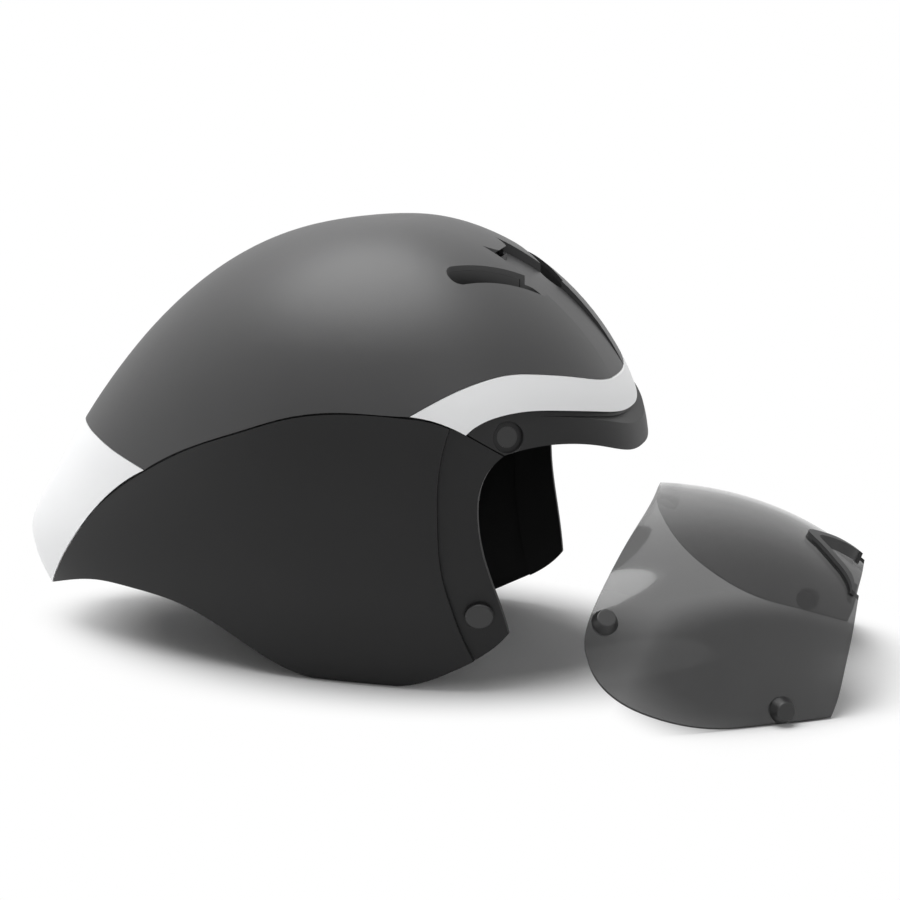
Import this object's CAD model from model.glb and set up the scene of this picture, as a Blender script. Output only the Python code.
import itertools
import math
import bmesh
import bpy
from mathutils import Matrix, Vector


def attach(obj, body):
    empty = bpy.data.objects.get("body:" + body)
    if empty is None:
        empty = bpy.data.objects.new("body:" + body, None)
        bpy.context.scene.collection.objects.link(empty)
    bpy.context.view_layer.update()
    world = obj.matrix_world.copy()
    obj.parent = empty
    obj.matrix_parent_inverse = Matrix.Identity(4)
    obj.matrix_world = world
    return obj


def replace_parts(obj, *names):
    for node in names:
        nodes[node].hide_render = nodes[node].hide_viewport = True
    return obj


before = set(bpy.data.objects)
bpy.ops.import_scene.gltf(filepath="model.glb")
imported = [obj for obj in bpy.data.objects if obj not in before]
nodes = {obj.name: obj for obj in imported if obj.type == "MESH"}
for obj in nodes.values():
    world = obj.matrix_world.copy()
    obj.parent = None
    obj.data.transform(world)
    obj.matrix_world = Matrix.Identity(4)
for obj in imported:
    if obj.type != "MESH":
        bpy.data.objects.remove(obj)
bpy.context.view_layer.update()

# Upper shell
# The grey moulded shell over the crown, with the sunk forehead channel and its air mouth and slots.
# It is injection moulded and sprayed with a soft-touch matte paint that shows a very fine speckle.


class Value:
    """Output of a shader node that can be used in sums with numbers and other outputs."""

    def __init__(self, finish, socket):
        self.finish = finish
        self.socket = socket

    def sum(self, operation, first, second=0.0):
        return self.finish.node("ShaderNodeMath", {"operation": operation}, {0: first, 1: second})

    def __add__(self, other):
        return self.sum("ADD", self, other)

    def __radd__(self, other):
        return self.sum("ADD", other, self)

    def __sub__(self, other):
        return self.sum("SUBTRACT", self, other)

    def __rsub__(self, other):
        return self.sum("SUBTRACT", other, self)

    def __mul__(self, other):
        return self.sum("MULTIPLY", self, other)

    def __rmul__(self, other):
        return self.sum("MULTIPLY", other, self)

    def __pow__(self, other):
        return self.sum("POWER", self, other)

    def wave(self):
        return self.sum("SINE", self)

    def least(self, other):
        return self.sum("MINIMUM", self, other)

    def between(self, low, high):
        """0 below low, 1 above high and a smooth rise from one to the other."""
        settings = {"interpolation_type": "SMOOTHSTEP"}
        inputs = {"Value": self, "From Min": low, "From Max": high}
        return self.finish.node("ShaderNodeMapRange", settings, inputs)


class Finish:
    """A material, or the studio's world, that is put together node by node."""

    def __init__(self, name, group=None):
        self.made = (bpy.data.materials if group is None else group).new(name)
        self.made.use_nodes = True
        self.tree = self.made.node_tree
        self.tree.nodes.clear()

    def node(self, kind, settings, inputs, output=0):
        node = self.tree.nodes.new(kind)
        for name, value in settings.items():
            setattr(node, name, value)
        for name, value in inputs.items():
            if isinstance(value, Value):
                self.tree.links.new(value.socket, node.inputs[name])
            else:
                node.inputs[name].default_value = value
        return Value(self, node.outputs[output])

    def place(self):
        """The point of the surface in metres, in the part's frame."""
        return self.node("ShaderNodeTexCoord", {}, {}, "Object")

    def along(self, axis):
        return self.node("ShaderNodeSeparateXYZ", {}, {0: self.place()}, axis)

    def noise(self, scale, detail=2.0, roughness=0.5, stretch=(1, 1, 1)):
        stretched = {0: self.place(), 1: stretch}
        where = self.node("ShaderNodeVectorMath", {"operation": "MULTIPLY"}, stretched)
        inputs = {"Vector": where, "Scale": scale, "Detail": detail, "Roughness": roughness}
        return self.node("ShaderNodeTexNoise", {}, inputs)

    def cells(self, scale, feature="F1"):
        inputs = {"Vector": self.place(), "Scale": scale}
        return self.node("ShaderNodeTexVoronoi", {"feature": feature}, inputs)

    def shade(self, mask, low, high):
        """Colour that goes from low to high as the mask goes from 0 to 1."""
        inputs = {"Factor": mask, 6: (*low, 1), 7: (*high, 1)}
        return self.node("ShaderNodeMix", {"data_type": "RGBA"}, inputs, 2)

    def bump(self, height, depth, strength=1.0):
        return self.node("ShaderNodeBump", {}, {"Height": height, "Distance": depth, "Strength": strength})

    def body(self, inputs):
        """Close the material with a Principled shader."""
        return self.close(self.node("ShaderNodeBsdfPrincipled", {}, inputs))

    def close(self, shader, output="ShaderNodeOutputMaterial"):
        """Lead a shader to the output and hand the finished material over."""
        end = self.tree.nodes.new(output)
        self.tree.links.new(shader.socket, end.inputs["Surface"])
        return self.made


def dress(node, material):
    """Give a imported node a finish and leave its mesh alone."""
    mesh = nodes[node].data
    mesh.materials.clear()
    mesh.materials.append(material)


def grey(level):
    """Neutral grey with a trace of blue."""
    return (level, level, level * 1.02)


def painted(name, low, high, roughness, grain, depth, specular=0.5):
    """Sprayed or moulded plastic: soft clouds in the colour and a fine speckle in the surface."""
    finish = Finish(name)
    clouds = finish.noise(9.0, 3.0).between(0.3, 0.7)
    speckle = finish.noise(grain, 2.0, 0.6)
    color = finish.shade(clouds * 0.6 + speckle * 0.4, low, high)
    normal = finish.bump(speckle, depth, 0.6)
    rough = speckle * 0.08 + clouds * 0.04 + (roughness - 0.06)
    inputs = {"Base Color": color, "Roughness": rough, "Normal": normal, "Specular IOR Level": specular}
    return finish.body(inputs)


shell_grey = painted("soft_touch_grey", grey(0.028), grey(0.038), roughness=0.48, grain=2600.0, depth=0.00006)
dress("upper_shell", shell_grey)

# White pieces
# The stripe over the brow and the cap over the tail are separate mouldings in satin white paint.
# They are clipped to the shell with a hairline gap round them.
white_low = (0.84, 0.845, 0.85)
white_high = (0.88, 0.885, 0.89)
satin_white = painted("satin_white", white_low, white_high, roughness=0.36, grain=1800.0, depth=0.00002)
for node in ("front_stripe", "tail_cover"):
    dress(node, satin_white)

# Brow band
# The dark recessed band under the stripe that takes the top of the visor, with a blind socket at each end.
# It is glass-filled nylon with an even matte grain.
band_grain = painted("band_grain", grey(0.013), grey(0.018), roughness=0.5, grain=3200.0, depth=0.00008,
                     specular=0.25)
dress("brow_band", band_grain)

# Side covers
# Charcoal covers over the ears, moulded with the sunk seat along the front for the wings of the visor.
# The paint is the same soft-touch kind as the shell's, darker and a little smoother.
cover_charcoal = painted("cover_charcoal", grey(0.012), grey(0.016), roughness=0.5, grain=2600.0,
                         depth=0.00005, specular=0.22)
for node in ("side_cover_right", "side_cover_left"):
    dress(node, cover_charcoal)

# Lower buttons and the magnets of the helmet
# Raised round buttons pressed into the seats, each over a plated disc magnet.
# The two upper magnets, in black lacquer, lie at the bottom of the sockets.
button_satin = painted("button_satin", grey(0.012), grey(0.017), roughness=0.34, grain=2400.0, depth=0.00003)
dress("lower_button_caps", button_satin)


def plated(name, level, roughness):
    """Nickel plate with a fine turned grain and a few dull patches."""
    finish = Finish(name)
    patches = finish.noise(160.0, 3.0).between(0.35, 0.75)
    color = finish.shade(patches, grey(level * 0.8), grey(level))
    normal = finish.bump(finish.noise(2400.0), 0.00002)
    inputs = {"Base Color": color, "Metallic": 1.0, "Roughness": patches * 0.15 + roughness, "Normal": normal}
    return finish.body(inputs)


nickel = plated("magnet_nickel", level=0.5, roughness=0.25)
dress("lower_button_magnets", nickel)
lacquer = painted("magnet_lacquer", grey(0.006), grey(0.010), roughness=0.42, grain=1500.0, depth=0.00003)
dress("socket_magnets", lacquer)

# Air ducts
# Thin moulded tubes that line the side slots from the shell down to the cavity.
# They are black polypropylene, matte on the inside.
fitting_black = painted("fitting_black", grey(0.018), grey(0.026), roughness=0.45, grain=2200.0,
                        depth=0.00006)
for node in ("vent_duct_right", "vent_duct_left"):
    dress(node, fitting_black)

# Foam liner
# Expanded polystyrene moulded in black beads, with the head cavity and the air channels.
# The beads show as small flattened cells with fine gaps between them.


def beaded_foam():
    """Cells of about 4 mm with soft gaps between them."""
    finish = Finish("beaded_foam")
    beads_per_metre = 260.0
    bead = finish.cells(beads_per_metre)
    edge = finish.cells(beads_per_metre, "DISTANCE_TO_EDGE").between(0.0, 0.09)
    color = finish.shade(edge * 0.7 + finish.noise(40.0) * 0.3, grey(0.010), grey(0.024))
    normal = finish.bump(edge - bead * 0.3, 0.0003, 0.8)
    return finish.body({"Base Color": color, "Roughness": 0.72 - edge * 0.1, "Normal": normal})


dress("foam_liner", beaded_foam())

# Comfort pads
# Foam cushions in a brushed knit cover, sewn round the edge and across in channels, held by hook tape.
# The cradle carries a smaller one of the same make.


def knit(name, low, high, scale):
    """Brushed knit: fine ribs both ways with lint on top."""
    finish = Finish(name)
    ribs = (finish.along("Z") * scale).wave() * 0.5 + 0.5
    rows = ((finish.along("X") + finish.along("Y")) * scale).wave() * 0.5 + 0.5
    lint = finish.noise(900.0, 4.0, 0.7)
    weave = ribs * rows * 0.7 + lint * 0.3
    color = finish.shade(weave, low, high)
    normal = finish.bump(weave, 0.00025, 0.7)
    inputs = {"Base Color": color, "Roughness": 0.9, "Normal": normal}
    return finish.body({**inputs, "Sheen Weight": 0.35, "Sheen Roughness": 0.4})


def puffed(name, node, shrink, cap):
    """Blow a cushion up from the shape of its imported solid, with Blender's cloth."""
    mesh = nodes[node].data.copy()
    mesh.name = name
    pad = bpy.data.objects.new(name, mesh)
    bpy.context.collection.objects.link(pad)
    select_only(pad)
    remesh = pad.modifiers.new("remesh", "REMESH")
    remesh.mode = "VOXEL"
    remesh.voxel_size = 0.004
    bpy.ops.object.modifier_apply(modifier=remesh.name)
    work = bmesh.new()
    work.from_mesh(pad.data)
    axes = {"use_axis_" + axis: True for axis in "xyz"}
    bmesh.ops.smooth_vert(work, verts=work.verts, factor=0.5, **axes)
    work.normal_update()
    for vert in work.verts:
        vert.co -= vert.normal * shrink
    work.to_mesh(pad.data)
    work.free()
    blow_up(pad, cap)
    smooth = pad.modifiers.new("round", "SUBSURF")
    smooth.levels = 1
    smooth.render_levels = 1
    bpy.ops.object.modifier_apply(modifier=smooth.name)
    for face in pad.data.polygons:
        face.use_smooth = True
    return pad


def select_only(piece):
    """Make one object the selected and active one."""
    for other in bpy.context.selected_objects:
        other.select_set(False)
    bpy.context.view_layer.objects.active = piece
    piece.select_set(True)


def blow_up(pad, cap, pressure=4.0, frames=20):
    """Run the cloth under pressure and keep the result within the cap."""
    start = [vert.co.copy() for vert in pad.data.vertices]
    cloth = pad.modifiers.new("cloth", "CLOTH")
    cloth.settings.use_pressure = True
    cloth.settings.uniform_pressure_force = pressure
    cloth.settings.effector_weights.gravity = 0
    cloth.settings.quality = 4
    cloth.point_cache.frame_start = 1
    cloth.point_cache.frame_end = frames
    for step in range(1, frames + 1):
        bpy.context.scene.frame_set(step)
    bpy.ops.object.modifier_apply(modifier=cloth.name)
    bpy.context.scene.frame_set(1)
    for vert, old in zip(pad.data.vertices, start):
        move = vert.co - old
        if move.length > cap:
            vert.co = old + move.normalized() * cap


def sew(pad, distance_to_seam, middle, width, depth):
    """Draw the surface in along seams, towards the pad's own middle line."""
    for vert in pad.data.vertices:
        gap = abs(distance_to_seam(vert.co))
        if gap < width:
            pull = depth * math.cos(math.pi / 2 * gap / width) ** 2
            towards = middle(vert.co) - vert.co
            towards.z *= 0.3
            if towards.length > depth:
                vert.co += towards.normalized() * pull


pad_knit = knit("pad_knit", grey(0.014), grey(0.034), scale=5200.0)
cavity_middle_x = -0.006
ring_half_length = 0.0974
ring_half_width = 0.0784
ring_radius = 0.088
ring_level = 0.138


def ring_turn(point):
    """Angle round the ring of pads at the brow and the temples."""
    return math.atan2(point.y / ring_half_width, (point.x - cavity_middle_x) / ring_half_length)


def ring_middle(point):
    """Nearest place on the line inside the pads of the ring."""
    turn = ring_turn(point)
    x = cavity_middle_x + ring_half_length * math.cos(turn)
    return Vector((x, ring_half_width * math.sin(turn), ring_level))


def ring_seam(spacing):
    """Distance from the nearest of the seams that stand a turn apart, for sew."""
    def gap(point):
        seams = abs(ring_turn(point)) / spacing
        return (seams - math.floor(seams) - 0.5) * spacing * ring_radius
    return gap


def pad_piece(name, node, shrink, cap, body="helmet"):
    """A cushion in knit that stands for a packed soft solid and rides on its body."""
    pad = puffed(name, node, shrink, cap)
    pad.data.materials.clear()
    pad.data.materials.append(pad_knit)
    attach(pad, body)
    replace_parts(pad, node)
    return pad


brow_cushion = pad_piece("brow_cushion", "brow_pad", shrink=0.0008, cap=0.002)
sew(brow_cushion, ring_seam(0.35), ring_middle, width=0.0022, depth=0.0016)
temple_cushions = pad_piece("temple_cushions", "temple_pads", shrink=0.0008, cap=0.002)
sew(temple_cushions, ring_seam(0.26), ring_middle, width=0.0022, depth=0.0016)


crown_level = 0.18
crown_seam_spacing = 0.024


def crown_middle(point):
    """Place straight below or above a point, at mid height of the crown pads."""
    return Vector((point.x, point.y, crown_level))


def crown_seam(point):
    """Distance from the nearest of the seams that run across the crown pads."""
    x = point.x - cavity_middle_x
    return x - round(x / crown_seam_spacing) * crown_seam_spacing


crown_cushions = pad_piece("crown_cushions", "crown_pads", shrink=0.0008, cap=0.002)
sew(crown_cushions, crown_seam, crown_middle, width=0.002, depth=0.0014)
ear_place = Vector((-0.012, 0.084, 0.058))
ear_half_length = 0.033
ear_half_height = 0.027
ear_radius = 0.03
ear_seam_radius = 0.018


def ear_middle(point):
    """Middle of the ear pad on the point's own side."""
    return Vector((ear_place.x, math.copysign(ear_place.y, point.y), ear_place.z))


def ear_seam(point):
    """Distance from the round seam on each ear pad."""
    across = (point.x - ear_place.x) / ear_half_length
    up = (point.z - ear_place.z) / ear_half_height
    return math.hypot(across, up) * ear_radius - ear_seam_radius


ear_cushions = pad_piece("ear_cushions", "ear_pads", shrink=0.001, cap=0.003)
sew(ear_cushions, ear_seam, ear_middle, width=0.002, depth=0.0014)
pad_piece("cradle_cushion", "cradle_pad", shrink=0.0005, cap=0.0015, body="cradle")

# Cover screws
# Small countersunk screws that hold the covers to bosses in the liner, hidden under the covers.
dress("cover_screws", plated("screw_steel", level=0.42, roughness=0.32))

# Chin strap
# Flat black webbing in a Y on each side: a front and a rear leg sewn to one lower run.
# Each run ends in one half of the chin buckle, which is open.


def webbing(name):
    """Woven tape: a twill across the width with firmer edges."""
    finish = Finish(name)
    warp = ((finish.along("X") + finish.along("Z") * 0.6) * 4200.0).wave() * 0.5 + 0.5
    weft = ((finish.along("Z") - finish.along("X") * 0.6 + finish.along("Y")) * 3000.0).wave() * 0.5 + 0.5
    lint = finish.noise(1200.0, 3.0)
    weave = warp * weft * 0.75 + lint * 0.25
    color = finish.shade(weave, grey(0.010), grey(0.030))
    normal = finish.bump(weave, 0.0002, 0.8)
    return finish.body({"Base Color": color, "Roughness": 0.82, "Normal": normal, "Sheen Weight": 0.2})


def join_rings(work, near, far):
    """Faces between two rings with the same count of points."""
    for step in range(len(near)):
        after = (step + 1) % len(near)
        work.faces.new((near[step], near[after], far[after], far[step]))


def close_ends(work, rings):
    """One flat face on the first ring and one on the last."""
    work.faces.new(rings[0])
    work.faces.new(list(reversed(rings[-1])))


def ribbon(work, points, across, width, thickness):
    """Band of flat webbing along points, with slightly raised selvedges."""
    edge = [(0.38, -0.44), (0.47, -0.5), (0.5, -0.32), (0.5, 0.32), (0.47, 0.5), (0.38, 0.44)]
    far_edge = [(-u, -v) for u, v in edge]
    profile = far_edge[3:] + edge + far_edge[:3]
    rings = []
    for index, point in enumerate(points):
        ahead = points[min(index + 1, len(points) - 1)]
        behind = points[max(index - 1, 0)]
        up = (ahead - behind).normalized().cross(across)
        ring = [point + across * (u * width) + up * (v * thickness) for u, v in profile]
        rings.append([work.verts.new(spot) for spot in ring])
    for near, far in zip(rings, rings[1:]):
        join_rings(work, near, far)
    close_ends(work, rings)


def spaced(start, end, count):
    """Points at even steps from start to end."""
    return [start.lerp(end, step / count) for step in range(count + 1)]


def linked_mesh(name, work, material):
    """Turn a finished bmesh into a smooth object of the scene."""
    mesh = bpy.data.meshes.new(name)
    work.to_mesh(mesh)
    work.free()
    mesh.materials.append(material)
    for face in mesh.polygons:
        face.use_smooth = True
    piece = bpy.data.objects.new(name, mesh)
    bpy.context.collection.objects.link(piece)
    return piece


def sewn_piece(name, work, material):
    """A piece of the chin strap, which rides on the helmet."""
    bmesh.ops.recalc_face_normals(work, faces=work.faces)
    piece = linked_mesh(name, work, material)
    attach(piece, "helmet")
    return piece


strap_join = Vector((-0.008, 0, 0.040))
strap_anchors = (Vector((0.022, 0, 0.103)), Vector((-0.046, 0, 0.099)))
strap_y = 0.072
strap_width = 0.015
strap_thickness = 0.0014
strap_bend = 0.007
strap_run = 0.026
strap_black = webbing("strap_webbing")


def strap_side(side, name):
    """Front and rear leg, lower run, bend above the floor and the run to the buckle."""
    y = Vector((0, side * strap_y, 0))
    work = bmesh.new()
    for index, anchor in enumerate(strap_anchors):
        run = (strap_join - anchor).normalized()
        sideways = run.cross(Vector((0, 1, 0)))
        lift = Vector((0, side * 0.0002 * (2 * index - 1), 0))
        leg = spaced(anchor - run * 0.004, strap_join + run * 0.003, 14)
        ribbon(work, [point + y + lift for point in leg], sideways, strap_width, strap_thickness)
    bend_top = Vector((strap_join.x, 0, strap_thickness + strap_bend))
    points = spaced(strap_join + Vector((0, 0, 0.004)), bend_top, 8)
    for step in range(1, 7):
        turn = math.pi / 2 * step / 6
        inward = -side * strap_bend * (1 - math.cos(turn))
        points.append(bend_top + Vector((0, inward, -strap_bend * math.sin(turn))))
    points += [points[-1] + Vector((0, -side * strap_run * step / 6, 0)) for step in range(1, 7)]
    ribbon(work, [point + y for point in points], Vector((1, 0, 0)), strap_width, strap_thickness)
    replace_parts(sewn_piece("webbing_" + name, work, strap_black), "chin_strap_" + name)


for side, name in ((-1, "right"), (1, "left")):
    strap_side(side, name)


def thread(name, color):
    """Twisted thread."""
    finish = Finish(name)
    twist = ((finish.along("X") + finish.along("Z")) * 9000.0).wave() * 0.5 + 0.5
    shade = finish.shade(twist, grey(color * 0.6), grey(color))
    return finish.body({"Base Color": shade, "Roughness": 0.6, "Normal": finish.bump(twist, 0.00005)})


def stitch(work, place, direction, length, radius):
    """One lying stitch: a short thread with rounded ends."""
    matrix = Matrix.Translation(place) @ direction.to_track_quat("Z", "Y").to_matrix().to_4x4()
    rings = []
    for share, girth in ((-0.5, 0.3), (-0.42, 0.8), (0, 1), (0.42, 0.8), (0.5, 0.3)):
        ring = []
        for step in range(6):
            turn = math.tau * step / 6
            spot = Vector((radius * girth * math.cos(turn), radius * girth * math.sin(turn), share * length))
            ring.append(work.verts.new(matrix @ spot))
        rings.append(ring)
    for near, far in zip(rings, rings[1:]):
        join_rings(work, near, far)
    close_ends(work, rings)


def bar_tacks():
    """Five by five stitches on both faces of each strap, where its legs are sewn to the lower run."""
    lowest = strap_join.z - 0.004
    across_pitch = 0.0024
    up_pitch = 0.0022
    off_middle = 0.00085
    length = 0.0020
    radius = 0.0002
    work = bmesh.new()
    for side, face in itertools.product((-1, 1), (-1, 1)):
        for row, column in itertools.product(range(5), range(5)):
            x = strap_join.x + (column - 2) * across_pitch
            y = side * strap_y + face * off_middle
            place = Vector((x, y, lowest + row * up_pitch))
            stitch(work, place, Vector((1, 0, 0.15)), length, radius)
    sewn_piece("bar_tacks", work, thread("tack_thread", 0.06))


bar_tacks()

for node in ("strap_anchors", "strap_slider_right", "strap_slider_left", "buckle_plug", "buckle_socket"):
    dress(node, fitting_black)

# Rear cradle
# The cradle slides on a rail at the back of the cavity; its dial turns a pinion between two toothed bands.
# All of it is acetal, black, with a slight sheen from wear on the moving faces.
acetal = painted("acetal_black", grey(0.020), grey(0.028), roughness=0.32, grain=1500.0, depth=0.00002)
for node in ("cradle_rail", "cradle_housing", "dial_pinion", "head_band_right", "head_band_left"):
    dress(node, acetal)
dial_grip = painted("dial_grip", grey(0.014), grey(0.020), roughness=0.6, grain=1200.0, depth=0.00015)
dress("fit_dial", dial_grip)

# Visor
# A smoked polycarbonate lens with a faint mirror coating, hot-formed and cut with a thin dark edge.
# Tapered magnet caps are riveted through it at the ends of the wings; a rubber piece grips the nose notch.


def smoked_mirror():
    """Dark tint that lets about a fifth of the light through, under a hard clear coat with fine rubs."""
    finish = Finish("smoked_mirror")
    haze = finish.noise(14.0, 3.0).between(0.35, 0.8)
    rub = finish.noise(900.0, 2.0, 0.6, (1, 0.08, 1)).between(0.66, 0.85)
    color = finish.shade(haze, grey(0.016), grey(0.030))
    inputs = {"Base Color": color, "Roughness": rub * 0.06 + 0.12, "Metallic": 0.15, "Alpha": 0.63,
              "Coat Weight": 0.45, "Coat Roughness": 0.03, "Specular IOR Level": 0.3, "IOR": 1.58}
    return finish.body(inputs)


def smooth_sheets(mesh):
    """Groups of faces that join without a sharp edge."""
    around = {}
    for face in mesh.polygons:
        for key in face.edge_keys:
            around.setdefault(key, []).append(face.index)
    seen = set()
    sheets = []
    for face in mesh.polygons:
        if face.index in seen:
            continue
        seen.add(face.index)
        sheet = [face]
        for near in sheet:
            for other in itertools.chain(*[around[key] for key in near.edge_keys]):
                beside = mesh.polygons[other]
                if other not in seen and near.normal.dot(beside.normal) > 0.8:
                    seen.add(other)
                    sheet.append(beside)
        sheets.append(sheet)
    return sheets


def mark_cut_edge(mesh):
    """Give the second material to the lens's narrow edges: all but its two widest sheets."""
    sheets = sorted(smooth_sheets(mesh), key=lambda sheet: sum(face.area for face in sheet))
    for face in itertools.chain(*sheets[:-2]):
        face.material_index = 1


dress("visor_lens", smoked_mirror())
lens_mesh = nodes["visor_lens"].data
cut_edge = painted("cut_edge", grey(0.010), grey(0.016), roughness=0.3, grain=1200.0, depth=0.00002)
lens_mesh.materials.append(cut_edge)
mark_cut_edge(lens_mesh)
cap_black = painted("cap_black", grey(0.008), grey(0.013), roughness=0.38, grain=2600.0, depth=0.00004)
for node in ("visor_upper_caps", "visor_lower_caps", "visor_cap_backs"):
    dress(node, cap_black)
dress("visor_cap_magnets", nickel)
rubber = painted("nose_rubber", grey(0.020), grey(0.030), roughness=0.62, grain=1400.0, depth=0.0001)
dress("nose_piece", rubber)

# Studio
# A pale floor that runs up into the backdrop, two large soft lamps and the camera.
# Away from the object the floor and the backdrop are white to the eye and in reflections.


def to_the_eye(finish):
    """1 for what the camera, metal and glass show; 0 for the light that falls on the object."""
    rays = ("Is Camera Ray", "Is Glossy Ray", "Is Transmission Ray")
    camera, glossy, through = [finish.node("ShaderNodeLightPath", {}, {}, ray) for ray in rays]
    return (camera + glossy + through).least(1.0)


def footprint(finish, middle_x, half_length, half_width):
    """1 on an oval round an object on the floor, less inside it and more outside."""
    along = (finish.along("X") - middle_x) * (1 / half_length)
    across = finish.along("Y") * (1 / half_width)
    return along ** 2.0 + across ** 2.0


def pale_floor():
    """Plain pale floor under the object; further out it shows pure white."""
    finish = Finish("studio_floor")
    grain = finish.noise(60.0, 2.0)
    color = finish.shade(grain, (0.86, 0.86, 0.86), (0.88, 0.88, 0.88))
    inputs = {"Base Color": color, "Roughness": 0.6, "Specular IOR Level": 0.2}
    shader = finish.node("ShaderNodeBsdfPrincipled", {}, inputs)
    helmet = footprint(finish, middle_x=-0.02, half_length=0.1515, half_width=0.0909)
    visor = footprint(finish, middle_x=0.19, half_length=0.0714, half_width=0.0952)
    away = helmet.least(visor).between(0.5, 1.8)
    white = finish.node("ShaderNodeEmission", {}, {"Color": (1, 1, 1, 1), "Strength": 1.0})
    mixed = {0: away * to_the_eye(finish), 1: shader, 2: white}
    return finish.close(finish.node("ShaderNodeMixShader", {}, mixed))


def studio_sweep():
    """Floor that bends up into a backdrop behind the object."""
    half_width, near_end, bend_start, bend, top = 4.0, -2.0, 1.0, 0.5, 3.0
    run = [(near_end, 0.0), (bend_start, 0.0)]
    for step in range(1, 9):
        turn = math.pi / 2 * step / 8
        run.append((bend_start + bend * math.sin(turn), bend - bend * math.cos(turn)))
    run.append((bend_start + bend, top))
    work = bmesh.new()
    rows = [[work.verts.new((x, y, z)) for x in (-half_width, half_width)] for y, z in run]
    for near, far in zip(rows, rows[1:]):
        work.faces.new((near[0], near[1], far[1], far[0]))
    sweep = linked_mesh("studio_sweep", work, pale_floor())
    sweep.location.z = -0.0005


studio_sweep()


def studio_world():
    """Plain soft light all round; to the eye, and in metal and glass, it shows as white."""
    light_on_object = 0.22
    sky = Finish("studio_world", bpy.data.worlds)
    strength = to_the_eye(sky) * (1 - light_on_object) + light_on_object
    background = sky.node("ShaderNodeBackground", {}, {"Color": (1, 1, 1, 1), "Strength": strength})
    bpy.context.scene.world = sky.close(background, "ShaderNodeOutputWorld")


studio_world()


def lamp(name, place, target, size, power):
    """Round soft lamp that is aimed at a target."""
    light = bpy.data.lights.new(name, "AREA")
    light.shape = "DISK"
    light.size = size
    light.energy = power
    piece = bpy.data.objects.new(name, light)
    piece.location = place
    piece.rotation_euler = (Vector(target) - Vector(place)).to_track_quat("-Z", "Y").to_euler()
    bpy.context.collection.objects.link(piece)


lamp("top_lamp", (-0.3, 0.0, 1.3), (0.0, 0, 0.1), size=1.5, power=26.0)
lamp("front_lamp", (1.0, -1.3, 0.8), (0.05, 0, 0.08), size=1.2, power=1.6)


def photo_camera():
    """Camera on the wearer's right, a little to the front and above, fitted to the photo."""
    target = Vector((0.0221835, 0, 0.102528))
    back = Vector((0.23288796, -0.94105658, 0.24530739))
    distance = 1.03
    focal_pixels = 2009.0
    picture_pixels = 900.0
    camera = bpy.data.cameras.new("camera")
    camera.sensor_width = 36.0
    camera.lens = camera.sensor_width * focal_pixels / picture_pixels
    camera.clip_start = 0.05
    camera.clip_end = 20.0
    viewer = bpy.data.objects.new("camera", camera)
    viewer.location = target + back * distance
    viewer.rotation_euler = (-back).to_track_quat("-Z", "Y").to_euler()
    bpy.context.collection.objects.link(viewer)
    bpy.context.scene.camera = viewer


photo_camera()
bpy.context.scene.view_settings.view_transform = "Standard"
